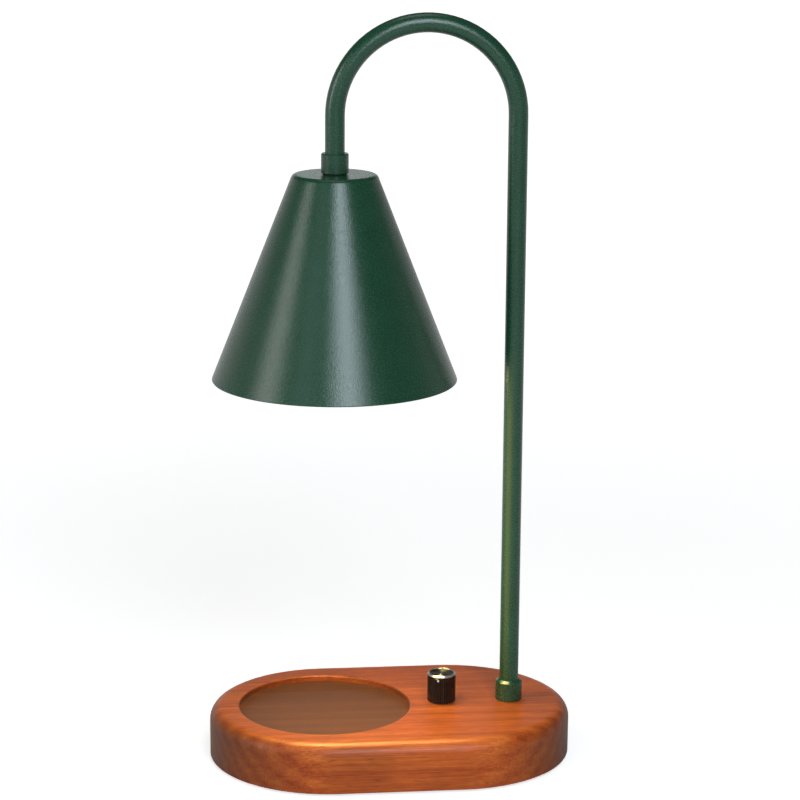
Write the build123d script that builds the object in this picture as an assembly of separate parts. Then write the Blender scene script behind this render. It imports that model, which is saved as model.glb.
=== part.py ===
from build123d import *
import os
from math import cos, pi, radians, sin, sqrt

# Candle warmer lamp, in millimetres. Z is up and z = 0 is the surface that the lamp stands on. X runs
# along the base, from the candle's end at -X to the arm's end at +X. The front faces -Y. The origin is
# under the middle of the base.

# ---- driving dimensions -----------------------------------------------------------------------------

# Wooden base: a slab with round ends, a shallow round recess and a pocket routed into its underside.
base_length = 190.0
base_width = 125.0
base_height = 26.0
base_top_round = 7.0
base_foot_round = 0.6
recess_diameter = 90.0
recess_depth = 3.0
recess_end_margin = 15.5
recess_rim_round = 0.8
pocket_wall = 14.0
pocket_web = 6.0
pocket_corner = 8.0
cover_ledge = 7.0
cover_thickness = 2.0
vent_length = 24.0
vent_width = 2.0
vent_pitch = 6.0
vent_count = 4

# Rubber feet, glued on.
foot_diameter = 12.0
foot_height = 1.5
foot_inset = 14.5
foot_angle = 45.0

# Cord inlet: a rubber grommet in the rear wall.
inlet_left_of_control = 1.5
grommet_bore = 5.5
grommet_sleeve = 9.0
grommet_flange = 12.0
grommet_flange_thickness = 1.5
grommet_lip = 10.6
grommet_lip_thickness = 1.2
grommet_proud = 0.3
rubber_round = 0.5

# Arm: one bent steel tube with M10 threaded ends, held by a collar above and a nut below at each end.
tube_diameter = 10.0
tube_wall = 1.0
arm_end_margin = 31.5
arch_radius = 46.5
arch_height = 311.0
collar_diameter = 14.0
collar_foot_bevel = 0.3
base_collar_height = 11.2
base_shoulder_width = 1.5
base_shoulder_rise = 1.2
shade_collar_height = 10.0
shade_collar_bevel = 0.5
nut_flats = 14.0
nut_thickness = 3.5
nut_bevel_share = 0.93
base_washer_diameter = 24.0
base_washer_thickness = 1.5
tube_tail = 0.3

# Shade: a spun steel cone with a flat top.
shade_mouth = 126.0
shade_top = 43.0
shade_height = 105.8
shade_sheet = 1.0
shade_top_round = 2.5
shade_drop = 18.6
gasket_diameter = 12.0
gasket_thickness = 0.6
shade_washer_diameter = 18.0
shade_washer_thickness = 0.8

# Rotary dimmer with a threaded bush, under a knob.
knob_spacing = 36.0
knob_diameter = 15.0
knob_height = 15.4
knob_gap = 0.4
knob_cap_height = 1.6
knob_groove = 0.35
knob_flute_count = 24
knob_flute_depth = 0.45
knob_ring_height = 1.1
knob_ring_width = 0.9
knob_disc_recess = 0.5
knob_edge_bevel = 0.3
knob_dot_diameter = 1.1
knob_pointer_width = 0.7
knob_pointer_angle = 248.5
knob_hollow_depth = 2.0
knob_skirt_wall = 1.5
knob_boss_wall = 1.0
knob_pointer_depth = 0.3
knob_pointer_start = 1.2
knob_dot_depth = 1.0
knob_flute_share = 0.62
shaft_diameter = 6.0
shaft_in_knob = 10.5
shaft_flat = 1.5
rotor_diameter = 12.0
rotor_thickness = 2.0
bush_diameter = 7.0
bush_length = 5.9
control_diameter = 16.5
control_depth = 10.0
control_plate = 1.5
control_wall = 1.0
control_nut_flats = 10.0
control_nut_thickness = 2.0
control_washer_diameter = 11.6
control_washer_thickness = 0.5
control_sink_diameter = 13.0
control_sink_depth = 3.0
control_pin_width = 1.0
control_pin_pitch = 5.0
control_pin_count = 3

# Dimmer board and what is soldered on it.
board_length = 39.0
board_width = 52.0
board_thickness = 1.6
board_standoff = 1.9
board_left_of_control = 11.5
board_side_gap = 4.0
lead_stub = 0.8
board_corner = 1.5
part_spacing = 1.0
part_edge_round = 0.6
resistor_edge_round = 0.4
terminal_pitch = 5.0
terminal_count = 4
terminal_depth = 9.0
terminal_height = 10.0
terminal_entry = 3.0
terminal_entry_depth = 6.0
terminal_wire_height = 2.8
terminal_screw_diameter = 3.0
terminal_screw_depth = 2.5
terminal_screw_sink = 0.4
terminal_bevel = 0.8
screw_slot_width = 0.6
capacitor_size = (14.0, 7.0, 11.0)
capacitor_gap = 5.0
triac_gap = 1.5
resistor_gap = 3.0
triac_body = (10.0, 9.0, 4.5)
triac_tab_length = 6.0
triac_tab_thickness = 1.3
triac_tab_hole = 3.2
choke_diameter = 12.0
choke_height = 9.0
choke_flange = 1.4
choke_neck = 6.0
winding_below_flange = 0.6
resistor_diameter = 2.4
resistor_length = 6.5
resistor_pitch = 4.0
resistor_count = 3

# Two insulated wires from the board, through the arm, to the lamp holder.
wire_diameter = 2.0
wire_bend = 6.5
wire_grip = 4.0

# Lamp holder: two ceramic halves screwed under a bent steel strap.
strap_width = 14.0
strap_span = 36.0
strap_sheet = 1.2
strap_drop = 18.0
strap_flange = 9.5
strap_bend = 1.5
holder_diameter = 30.0
holder_face = 2.5
holder_body_height = 6.5
holder_cap_height = 8.5
holder_chamber_outer = 8.6
holder_chamber_inner = 1.4
holder_edge_round = 1.0
contact_thickness = 0.5
contact_size = 5.0
contact_corner = 1.0
m3_diameter = 3.0
m3_head = 5.5
m3_head_height = 2.4
m3_head_round = 0.8
m3_head_sink = 0.3
m3_edge_margin = 0.5
m3_nut_flats = 5.5
m3_nut_thickness = 2.4
m3_reach = 0.6

# Cover screws, countersunk.
cover_screw_diameter = 3.0
cover_screw_head = 5.8
cover_screw_length = 12.0
cover_screw_angle = 20.0
cover_screw_left = 2.0
cross_width = 0.7
cross_depth = 0.9
cross_share = 0.6

# Twist-lock reflector lamp, 50 mm across.
lamp_length = 46.5
lamp_diameter = 50.0
lamp_base_height = 12.0
lamp_base_diameter = 26.0
lamp_neck_diameter = 24.0
lamp_neck_bore = 20.0
lamp_neck_wall = 0.6
lamp_base_bevel = 1.0
lamp_base_band = 2.0
lamp_front_round = 0.5
lamp_glass = 1.5
lamp_front_glass = 1.6
lamp_front_margin = 0.6
lamp_pin_spacing = 10.0
lamp_pin_neck = 3.0
lamp_pin_head = 5.0
lamp_pin_head_height = 2.9
lamp_pin_root = 4.0
lamp_pin_round = 0.6
lamp_twist = 35.0
capsule_diameter = 9.0
capsule_glass = 1.0
capsule_length = 24.0
capsule_seat = 4.0
filament_length = 4.0
filament_diameter = 1.5
filament_post = 0.8
filament_height = 8.0

# Named clearances.
screw_clearance = 0.05
shaft_clearance = 0.05
thread_clearance = 0.03
hole_clearance = 0.1
cover_clearance = 0.25
body_gap = 0.3
wire_clearance = 0.2

# ---- places worked out from the driving dimensions --------------------------------------------------

wood_bottom = foot_height
wood_top = wood_bottom + base_height
end_centre = (base_length - base_width) / 2
recess_x = -(base_length / 2 - recess_end_margin - recess_diameter / 2)
recess_floor = wood_top - recess_depth
arm_x = base_length / 2 - arm_end_margin
knob_x = arm_x - knob_spacing
inlet_x = knob_x - inlet_left_of_control
shade_x = arm_x - 2 * arch_radius
arch_x = arm_x - arch_radius
arch_z = wood_top + arch_height
pocket_top = wood_top - pocket_web
cover_top = wood_bottom + cover_thickness
pocket_rear = base_width / 2 - pocket_wall
inlet_z = (cover_top + pocket_top) / 2
tube_radius = tube_diameter / 2
tube_hole = tube_radius + hole_clearance
threaded_hole = tube_radius + thread_clearance

base_nut_top = pocket_top - base_washer_thickness
base_nut_bottom = base_nut_top - nut_thickness
tube_start = base_nut_bottom - tube_tail

shade_collar_top = arch_z - shade_drop
shade_collar_bottom = shade_collar_top - shade_collar_height
shade_top_z = shade_collar_bottom - gasket_thickness
shade_mouth_z = shade_top_z - shade_height
shade_slope = (shade_mouth - shade_top) / 2 / shade_height
shade_inside_z = shade_top_z - shade_sheet
strap_top = shade_inside_z - shade_washer_thickness
shade_nut_top = strap_top - strap_sheet
shade_nut_bottom = shade_nut_top - nut_thickness
tube_end = shade_nut_bottom - tube_tail

holder_top = strap_top - strap_drop
holder_split = holder_top - holder_cap_height
holder_bottom = holder_split - holder_body_height
chamber_floor = holder_bottom + holder_face
lamp_top = holder_bottom - body_gap
lamp_bottom = lamp_top - lamp_length
lamp_neck_z = lamp_top - lamp_base_height
lamp_rim_z = lamp_bottom + lamp_front_glass
pin_radius = lamp_pin_spacing / 2
strap_hole_x = strap_span / 2 - strap_flange + m3_head / 2 + m3_edge_margin

knob_bottom = wood_top + knob_gap
knob_radius = knob_diameter / 2
knob_disc_radius = knob_radius - knob_groove / 2 - knob_ring_width - thread_clearance
knob_pointer_end = knob_disc_radius - knob_ring_width / 2
control_top = pocket_top
control_bottom = control_top - control_depth
control_sink_floor = wood_top - control_sink_depth
shaft_top = knob_bottom + shaft_in_knob
chamber_top = control_top - control_plate
chamber_bottom = control_bottom + control_wall
rotor_bottom = (chamber_top + chamber_bottom - rotor_thickness) / 2

board_bottom = cover_top + board_standoff
board_top = board_bottom + board_thickness
board_left = knob_x - board_left_of_control
board_right = board_left + board_length
pocket_left = board_left - board_side_gap
wire_y = terminal_pitch / 2
wire_z = board_top + terminal_wire_height
terminal_left = board_right - terminal_depth


# ---- helpers ----------------------------------------------------------------------------------------

def disc(radius, bottom, top, x=0.0, y=0.0):
    """A round solid with a vertical axis, between two heights."""
    return Pos(x, y, (bottom + top) / 2) * Cylinder(radius, top - bottom)


def rod_y(radius, start, end, x, z):
    """A round solid along Y, between two Y values."""
    return Pos(x, (start + end) / 2, z) * Rot(90, 0, 0) * Cylinder(radius, end - start)


def rod_x(radius, start, end, y, z):
    """A round solid along X, between two X values."""
    return Pos((start + end) / 2, y, z) * Rot(0, 90, 0) * Cylinder(radius, end - start)


def block(x, y, z):
    """A rectangular solid between (low, high) pairs along X, Y and Z."""
    size = (x[1] - x[0], y[1] - y[0], z[1] - z[0])
    centre = ((x[0] + x[1]) / 2, (y[0] + y[1]) / 2, (z[0] + z[1]) / 2)
    return Pos(*centre) * Box(*size)


def spun(*points):
    """A solid of revolution about Z, from a closed outline of (radius, height) points."""
    outline = Polyline(*[(r, 0, z) for r, z in points], close=True)
    return revolve(make_face(outline), Axis.Z)


def hexagon(flats, bottom, top, x=0.0, y=0.0):
    """A hexagonal prism, before its bore is cut."""
    outline = RegularPolygon(flats / 2, 6, major_radius=False)
    prism = extrude(outline, amount=top - bottom)
    corner = flats / sqrt(3)
    height = top - bottom
    flat_corner = corner * nut_bevel_share
    fall = (corner - flat_corner) / sqrt(3)
    bevel = spun((0, 0), (flat_corner, 0), (corner, fall), (corner, height - fall),
                 (flat_corner, height), (0, height))
    return Pos(x, y, bottom) * (prism & bevel)


def cross_recess(across, depth):
    """The cross that a screwdriver turns, sunk upwards from z = 0."""
    arm = block((-across / 2, across / 2), (-cross_width / 2, cross_width / 2), (0, depth))
    return arm + Rot(0, 0, 90) * arm


def collar(bottom, height, shoulder_width, shoulder_rise, x):
    """A turned and threaded collar, with a bevelled foot and a shoulder that slopes up to the tube."""
    radius = collar_diameter / 2
    top = bottom + height
    body = spun((0, bottom), (radius - collar_foot_bevel, bottom), (radius, bottom + collar_foot_bevel),
                (radius, top - shoulder_rise), (radius - shoulder_width, top), (0, top))
    return Pos(x, 0, 0) * (body - disc(threaded_hole, bottom, top))


def washer(diameter, hole_radius, bottom, top, x):
    """A flat ring."""
    return disc(diameter / 2, bottom, top, x) - disc(hole_radius, bottom, top, x)


def underside_outline(inset, left):
    """The base's outline drawn in by an inset, kept to the right of a straight cut at left."""
    inner = SlotOverall(base_length - 2 * inset, base_width - 2 * inset)
    keep = Pos((left + base_length) / 2, 0) * Rectangle(base_length - left, base_width)
    outline = inner & keep
    return fillet(outline.vertices().sort_by(Axis.X)[:2], pocket_corner)


def cover_screw_places():
    """Where the four cover screws go: on the middle of the ledge around the pocket."""
    reach = base_width / 2 - pocket_wall + cover_ledge / 2
    turn = radians(cover_screw_angle)
    far_x = end_centre + reach * cos(turn)
    near_x = pocket_left + cover_screw_left
    return [(near_x, -reach), (near_x, reach), (far_x, -reach * sin(turn)), (far_x, reach * sin(turn))]


# ---- wooden base and what closes it -----------------------------------------------------------------

def make_base_block():
    """Solid wood slab: recess on top, pocket and cover rebate below, holes for arm, control and cord."""
    wood = Pos(0, 0, wood_bottom) * extrude(SlotOverall(base_length, base_width), amount=base_height)
    wood = fillet(wood.edges().group_by(Axis.Z)[-1], base_top_round)
    wood = fillet(wood.edges().group_by(Axis.Z)[0], base_foot_round)
    wood -= disc(recess_diameter / 2, recess_floor, wood_top, recess_x)
    rim = [
        edge for edge in wood.edges().filter_by(GeomType.CIRCLE)
        if abs(edge.radius - recess_diameter / 2) < 0.01 and abs(edge.center().Z - wood_top) < 0.01
    ]
    wood = fillet(rim, recess_rim_round)
    pocket = extrude(underside_outline(pocket_wall, pocket_left), amount=pocket_top - wood_bottom)
    wood -= Pos(0, 0, wood_bottom) * pocket
    rebate = underside_outline(pocket_wall - cover_ledge, pocket_left - cover_ledge)
    wood -= Pos(0, 0, wood_bottom) * extrude(rebate, amount=cover_thickness)
    wood -= disc(tube_hole, pocket_top, wood_top, arm_x)
    wood -= disc(control_sink_diameter / 2, control_sink_floor, wood_top, knob_x)
    wood -= disc(bush_diameter / 2 + hole_clearance, pocket_top, wood_top, knob_x)
    wood -= rod_y(grommet_sleeve / 2, pocket_rear - 1, base_width / 2 + 1, inlet_x, inlet_z)
    flange_seat = base_width / 2 + grommet_proud - grommet_flange_thickness
    seat_radius = grommet_flange / 2 + hole_clearance
    wood -= rod_y(seat_radius, flange_seat, base_width / 2 + 1, inlet_x, inlet_z)
    for x, y in cover_screw_places():
        top = wood_bottom + cover_screw_length
        wood -= disc(cover_screw_diameter / 2 + screw_clearance, wood_bottom, top, x, y)
    return wood


def make_bottom_cover():
    """Flat plastic plate let into the underside, with screw holes and vent slots."""
    outline = underside_outline(pocket_wall - cover_ledge, pocket_left - cover_ledge)
    outline = offset(outline, -cover_clearance)
    plate = Pos(0, 0, wood_bottom) * extrude(outline, amount=cover_thickness)
    for x, y in cover_screw_places():
        plate -= Pos(x, y, wood_bottom) * screw_cutter()
    vent = extrude(SlotOverall(vent_length, vent_width), amount=cover_thickness)
    for row in range(vent_count):
        y = (row - (vent_count - 1) / 2) * vent_pitch
        plate -= Pos(board_left + board_length / 2, y, wood_bottom) * vent
    return plate


def screw_cutter():
    """The countersunk hole that a cover screw needs in the plate, from z = 0 up."""
    head = cover_screw_head / 2 + hole_clearance
    shank = cover_screw_diameter / 2 + screw_clearance
    return spun((0, 0), (head, 0), (shank, head - shank), (shank, cover_thickness), (0, cover_thickness))


def make_cover_screws():
    """Four countersunk screws, heads flush with the plate."""
    head = cover_screw_head / 2
    shank = cover_screw_diameter / 2
    tip = cover_screw_length
    one = spun((0, 0), (head, 0), (shank, head - shank), (shank, tip - shank), (shank * 0.2, tip), (0, tip))
    one -= cross_recess(cover_screw_head * cross_share, cross_depth)
    return [Pos(x, y, wood_bottom) * one for x, y in cover_screw_places()]


def make_feet():
    """Four soft discs under the round ends."""
    reach = base_width / 2 - foot_inset
    turn = radians(foot_angle)
    feet = []
    for side in (-1, 1):
        for hand in (-1, 1):
            x = side * (end_centre + reach * cos(turn))
            y = hand * reach * sin(turn)
            foot = disc(foot_diameter / 2, 0, foot_height, x, y)
            feet.append(fillet(foot.edges().group_by(Axis.Z)[0], rubber_round))
    return feet


def make_cord_grommet():
    """Rubber sleeve with a flange outside the rear wall and a lip inside it."""
    outside = base_width / 2 + grommet_proud
    seat = outside - grommet_flange_thickness
    inside = pocket_rear - grommet_lip_thickness
    sleeve = rod_y(grommet_sleeve / 2, inside, outside, inlet_x, inlet_z)
    flange = rod_y(grommet_flange / 2, seat, outside, inlet_x, inlet_z)
    flange = fillet(flange.edges().group_by(Axis.Y)[-1], rubber_round)
    lip = rod_y(grommet_lip / 2, inside, pocket_rear, inlet_x, inlet_z)
    return sleeve + flange + lip - rod_y(grommet_bore / 2, inside, outside, inlet_x, inlet_z)


# ---- rotary dimmer and knob -------------------------------------------------------------------------

def make_control_bush():
    """Threaded bush on the control's front plate."""
    plate = disc(control_diameter / 2, control_top - control_plate, control_top, knob_x)
    bush = disc(bush_diameter / 2, control_top, control_top + bush_length, knob_x)
    bore = shaft_diameter / 2 + shaft_clearance
    return plate + bush - disc(bore, control_top - control_plate, control_top + bush_length, knob_x)


def make_control_can():
    """Cup behind the front plate, with slots for the solder pins."""
    can = disc(control_diameter / 2, control_bottom, chamber_top, knob_x)
    inner = control_diameter / 2 - control_wall
    return can - disc(inner, chamber_bottom, chamber_top, knob_x)


def make_control_pins():
    """Flat solder pins from the can down through the board."""
    half = control_pin_width / 2
    pins = []
    for index in range(control_pin_count):
        y = (index - (control_pin_count - 1) / 2) * control_pin_pitch
        tall = (board_bottom - lead_stub, control_bottom)
        pins.append(block((knob_x - half, knob_x + half), (y - half / 2, y + half / 2), tall))
    return pins


def make_control_washer():
    """Plain washer in the sink under the knob."""
    top = control_sink_floor + control_washer_thickness
    hole = bush_diameter / 2 + hole_clearance
    return washer(control_washer_diameter, hole, control_sink_floor, top, knob_x)


def make_control_nut():
    """Thin hexagon nut on the bush."""
    bottom = control_sink_floor + control_washer_thickness
    top = bottom + control_nut_thickness
    nut = hexagon(control_nut_flats, bottom, top, knob_x)
    return nut - disc(bush_diameter / 2 + thread_clearance, bottom, top, knob_x)


def make_control_shaft():
    """Turning shaft with a flat at its top and the rotor disc at its foot."""
    shaft = disc(shaft_diameter / 2, rotor_bottom, shaft_top, knob_x)
    flat_x = shaft_diameter / 2 - shaft_flat
    cut = block((flat_x, shaft_diameter), (-shaft_diameter, shaft_diameter), (knob_bottom, shaft_top))
    shaft -= Pos(knob_x, 0, 0) * Rot(0, 0, knob_pointer_angle) * cut
    shaft = shaft + disc(rotor_diameter / 2, rotor_bottom, rotor_bottom + rotor_thickness, knob_x)
    return shaft


def make_knob_body():
    """Black fluted body with a smooth band above a fine groove, and a D bore."""
    outline = Circle(knob_radius)
    flute_radius = knob_radius * pi / knob_flute_count * knob_flute_share
    for index in range(knob_flute_count):
        turn = 360 / knob_flute_count * index
        far = knob_radius + flute_radius - knob_flute_depth
        outline -= Rot(0, 0, turn) * Pos(far, 0) * Circle(flute_radius)
    groove_bottom = knob_height - knob_cap_height
    inner = knob_radius - knob_edge_bevel
    high = groove_bottom - knob_edge_bevel
    blank = spun((0, 0), (inner, 0), (knob_radius, knob_edge_bevel), (knob_radius, high),
                 (inner, groove_bottom), (0, groove_bottom))
    fluted = extrude(outline, amount=groove_bottom) & blank
    neck_radius = knob_radius - 2 * knob_groove
    band_radius = knob_radius - knob_groove / 2
    neck = disc(neck_radius, 0, knob_height - knob_ring_height)
    band = disc(band_radius, groove_bottom + knob_groove, knob_height - knob_ring_height)
    body = fluted + neck + band
    boss = disc(shaft_diameter / 2 + knob_boss_wall, 0, knob_hollow_depth)
    body -= disc(knob_radius - knob_skirt_wall, 0, knob_hollow_depth) - boss
    bore_radius = shaft_diameter / 2 + thread_clearance
    flat_x = shaft_diameter / 2 - shaft_flat + thread_clearance
    bore = disc(bore_radius, 0, shaft_in_knob + body_gap)
    bore -= block((flat_x, shaft_diameter), (-shaft_diameter, shaft_diameter), (0, knob_height))
    dot_z = groove_bottom - knob_dot_diameter
    body -= bore
    body -= rod_x(knob_dot_diameter / 2, knob_radius - knob_dot_depth, knob_radius, 0, dot_z)
    return Pos(knob_x, 0, knob_bottom) * Rot(0, 0, knob_pointer_angle) * body


def make_knob_ring():
    """Bright ring with a cut bevel, seated on the smooth band."""
    outer = knob_radius - knob_groove / 2
    inner = outer - knob_ring_width
    low = knob_height - knob_ring_height
    bevel = knob_ring_width * 0.6
    ring = spun((inner, low), (outer, low), (outer, knob_height - bevel), (outer - bevel, knob_height),
                (inner, knob_height))
    return Pos(knob_x, 0, knob_bottom) * ring


def make_knob_disc():
    """Turned disc inside the ring, with a groove for the pointer."""
    high = knob_height - knob_disc_recess
    plate = disc(knob_disc_radius, knob_height - knob_ring_height, high)
    half = knob_pointer_width / 2
    groove = (high - knob_pointer_depth, high)
    plate -= block((knob_pointer_start, knob_pointer_end), (-half, half), groove)
    return Pos(knob_x, 0, knob_bottom) * Rot(0, 0, knob_pointer_angle) * plate


def make_knob_marks():
    """White filling of the pointer groove, and the white dot on the knob's side."""
    high = knob_height - knob_disc_recess
    half = knob_pointer_width / 2
    dot_z = knob_height - knob_cap_height - knob_dot_diameter
    groove = (high - knob_pointer_depth, high)
    line = block((knob_pointer_start, knob_pointer_end), (-half, half), groove)
    dot_end = knob_radius - knob_groove / 2
    dot = rod_x(knob_dot_diameter / 2, knob_radius - knob_dot_depth, dot_end, 0, dot_z)
    place = Pos(knob_x, 0, knob_bottom) * Rot(0, 0, knob_pointer_angle)
    return [place * line, place * dot]


# ---- dimmer board -----------------------------------------------------------------------------------

def make_dimmer_board():
    """Circuit board hanging under the control on its pins."""
    width = (-board_width / 2, board_width / 2)
    plate = block((board_left, board_right), width, (board_bottom, board_top))
    plate = fillet(plate.edges().filter_by(Axis.Z), board_corner)
    half = control_pin_width / 2 + hole_clearance
    for index in range(control_pin_count):
        y = (index - (control_pin_count - 1) / 2) * control_pin_pitch
        plate -= block((knob_x - half, knob_x + half), (y - half, y + half), (board_bottom, board_top))
    return plate


def terminal_ways():
    """The Y of each way of the terminal block."""
    return [(index - (terminal_count - 1) / 2) * terminal_pitch for index in range(terminal_count)]


def make_terminal_block():
    """Moulded block with a wire entry and a screw well for each way."""
    width = terminal_count * terminal_pitch / 2
    top = board_top + terminal_height
    body = block((terminal_left, board_right), (-width, width), (board_top, top))
    body = chamfer(body.edges().filter_by(Axis.Y).group_by(Axis.Z)[-1], terminal_bevel)
    entry_end = board_right - terminal_entry_depth
    well_x = (terminal_left + board_right) / 2
    for y in terminal_ways():
        body -= rod_x(terminal_entry / 2, entry_end, board_right, y, wire_z)
        body -= disc(terminal_screw_diameter / 2 + hole_clearance, top - terminal_screw_depth, top, well_x, y)
    return body


def make_terminal_screws():
    """Slotted clamp screws, one for each way."""
    top = board_top + terminal_height - terminal_screw_sink
    bottom = board_top + terminal_height - terminal_screw_depth
    well_x = (terminal_left + board_right) / 2
    screws = []
    for y in terminal_ways():
        screw = disc(terminal_screw_diameter / 2, bottom, top, well_x, y)
        along = (well_x - terminal_screw_diameter / 2, well_x + terminal_screw_diameter / 2)
        across = (y - screw_slot_width / 2, y + screw_slot_width / 2)
        screws.append(screw - block(along, across, (top - screw_slot_width, top)))
    return screws


def make_filter_capacitor():
    """Boxed film capacitor behind the control."""
    length, width, height = capacitor_size
    near = control_diameter / 2 + capacitor_gap
    x = (knob_x - length / 2, knob_x + length / 2)
    box = block(x, (near, near + width), (board_top, board_top + height))
    return fillet(box.edges().group_by(Axis.Z)[-1] + box.edges().filter_by(Axis.Z), part_edge_round)


def make_dimmer_triac():
    """Power device lying flat, with its metal tab towards the board's edge."""
    length, width, height = triac_body
    near = -control_diameter / 2 - triac_gap
    x = (knob_x - length / 2, knob_x + length / 2)
    body = block(x, (near - width, near), (board_top, board_top + height))
    tab_z = (board_top, board_top + triac_tab_thickness)
    tab = block(x, (near - width - triac_tab_length, near - width), tab_z)
    hole_y = near - width - triac_tab_length / 2
    return body + tab - disc(triac_tab_hole / 2, *tab_z, knob_x, hole_y)


def choke_place():
    """The choke stands in the board's rear corner, beside the terminal block."""
    x = board_right - choke_diameter / 2 - part_spacing
    y = terminal_count * terminal_pitch / 2 + choke_diameter / 2 + part_spacing
    return x, y


def make_choke_core():
    """Ferrite bobbin: a neck between two flanges."""
    x, y = choke_place()
    top = board_top + choke_height
    foot = disc(choke_diameter / 2, board_top, board_top + choke_flange, x, y)
    head = disc(choke_diameter / 2, top - choke_flange, top, x, y)
    return foot + head + disc(choke_neck / 2, board_top, top, x, y)


def make_choke_winding():
    """Copper winding that fills the bobbin."""
    x, y = choke_place()
    low = board_top + choke_flange
    high = board_top + choke_height - choke_flange
    radius = choke_diameter / 2 - winding_below_flange
    return disc(radius, low, high, x, y) - disc(choke_neck / 2, low, high, x, y)


def make_board_resistors():
    """Small round resistors in a row on the board's front corner."""
    z = board_top + resistor_diameter / 2
    parts = []
    start = board_right - resistor_length - part_spacing
    for index in range(resistor_count):
        y = -terminal_count * terminal_pitch / 2 - resistor_gap - index * resistor_pitch
        body = rod_x(resistor_diameter / 2, start, start + resistor_length, y, z)
        parts.append(fillet(body.edges(), resistor_edge_round))
    return parts


# ---- arm --------------------------------------------------------------------------------------------

def arch_run(y):
    """The half circle over the top, at one Y."""
    top = (arch_x, y, arch_z + arch_radius)
    return ThreePointArc((arm_x, y, arch_z), top, (shade_x, y, arch_z))


def make_arm_tube():
    """Bent tube: up from under the wood, over, and down to under the shade's top."""
    rise = Line((arm_x, 0, tube_start), (arm_x, 0, arch_z))
    fall = Line((shade_x, 0, arch_z), (shade_x, 0, tube_end))
    path = Wire([rise, arch_run(0), fall])
    ring = Circle(tube_radius) - Circle(tube_radius - tube_wall)
    return sweep(Plane((arm_x, 0, tube_start)) * ring, path=path)


def make_lamp_wires():
    """Two insulated wires, side by side through the tube."""
    wires = []
    turn = wire_bend * sin(radians(45))
    for y in (-wire_y, wire_y):
        start = (board_right - wire_grip, y, wire_z)
        corner = (arm_x - wire_bend, y, wire_z)
        middle = (arm_x - wire_bend + turn, y, wire_z + wire_bend - turn)
        upright = (arm_x, y, wire_z + wire_bend)
        run_in = Line(start, corner)
        bend = ThreePointArc(corner, middle, upright)
        rise = Line(upright, (arm_x, y, arch_z))
        fall = Line((shade_x, y, arch_z), (shade_x, y, holder_top - wire_grip))
        path = Wire([run_in, bend, rise, arch_run(y), fall])
        section = Plane(start, x_dir=(0, 1, 0), z_dir=(1, 0, 0)) * Circle(wire_diameter / 2)
        wires.append(sweep(section, path=path))
    return wires


def make_base_collar():
    """Collar that the tube screws through, pulled down on the wood."""
    return collar(wood_top, base_collar_height, base_shoulder_width, base_shoulder_rise, arm_x)


def make_base_washer():
    """Large washer that spreads the nut's load under the wood."""
    return washer(base_washer_diameter, tube_hole, base_nut_top, pocket_top, arm_x)


def make_base_nut():
    """Hexagon nut under the wood."""
    nut = hexagon(nut_flats, base_nut_bottom, base_nut_top, arm_x)
    return nut - disc(threaded_hole, base_nut_bottom, base_nut_top, arm_x)


# ---- shade ------------------------------------------------------------------------------------------

def make_shade_collar():
    """Collar above the shade."""
    return collar(shade_collar_bottom, shade_collar_height, shade_collar_bevel, shade_collar_bevel, shade_x)


def make_shade_gasket():
    """Thin fibre ring between the collar and the painted shade."""
    top = shade_top_z + gasket_thickness
    return washer(gasket_diameter, tube_hole, shade_top_z, top, shade_x)


def make_lamp_shade():
    """Spun cone with a flat top, a rounded shoulder and an open mouth."""
    mouth = shade_mouth / 2
    top = shade_top / 2
    outside = spun((0, shade_mouth_z), (mouth, shade_mouth_z), (top, shade_top_z), (0, shade_top_z))
    outside = fillet(outside.edges().group_by(Axis.Z)[-1], shade_top_round)
    across = shade_sheet * sqrt(1 + shade_slope ** 2)
    low = mouth - across
    high = top - across + shade_sheet * shade_slope
    inside = spun((0, shade_mouth_z), (low, shade_mouth_z), (high, shade_inside_z), (0, shade_inside_z))
    inside = fillet(inside.edges().group_by(Axis.Z)[-1], shade_top_round - shade_sheet)
    cone = outside - inside - disc(tube_hole, shade_inside_z, shade_top_z)
    cone = fillet(cone.edges().group_by(Axis.Z)[0], shade_sheet * 0.4)
    return Pos(shade_x, 0, 0) * cone


def make_shade_washer():
    """Washer between the shade's top and the strap."""
    return washer(shade_washer_diameter, tube_hole, strap_top, shade_inside_z, shade_x)


def make_shade_nut():
    """Hexagon nut that clamps strap, washer, shade and collar together."""
    nut = hexagon(nut_flats, shade_nut_bottom, shade_nut_top, shade_x)
    return nut - disc(threaded_hole, shade_nut_bottom, shade_nut_top, shade_x)


# ---- lamp holder ------------------------------------------------------------------------------------

def make_holder_bracket():
    """Steel strap bent to a box that is open below, with two flanges turned in for the screws."""
    outer = strap_span / 2
    inner = outer - strap_sheet
    flange_top = holder_top + strap_sheet
    flange_end = outer - strap_flange
    outline = [
        (outer, strap_top), (outer, holder_top), (flange_end, holder_top), (flange_end, flange_top),
        (inner, flange_top), (inner, strap_top - strap_sheet),
    ]
    mirrored = [(-x, z) for x, z in reversed(outline)]
    face = make_face(Polyline(*[(x, -strap_width / 2, z) for x, z in outline + mirrored], close=True))
    strap = extrude(face, amount=strap_width, dir=(0, 1, 0))
    bends = [
        edge for edge in strap.edges().filter_by(Axis.Y)
        if abs(abs(edge.center().X) - outer) < 0.01
    ]
    strap = fillet(bends, strap_bend)
    strap -= disc(tube_hole, strap_top - strap_sheet, strap_top)
    for side in (-1, 1):
        hole = m3_diameter / 2 + hole_clearance
        strap -= disc(hole, holder_top, flange_top, side * strap_hole_x)
    return Pos(shade_x, 0, 0) * strap


def screw_column(radius):
    """Two round cutters, one for each holder screw, through both halves."""
    left = disc(radius, holder_bottom, holder_top, -strap_hole_x)
    return left + disc(radius, holder_bottom, holder_top, strap_hole_x)


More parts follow.
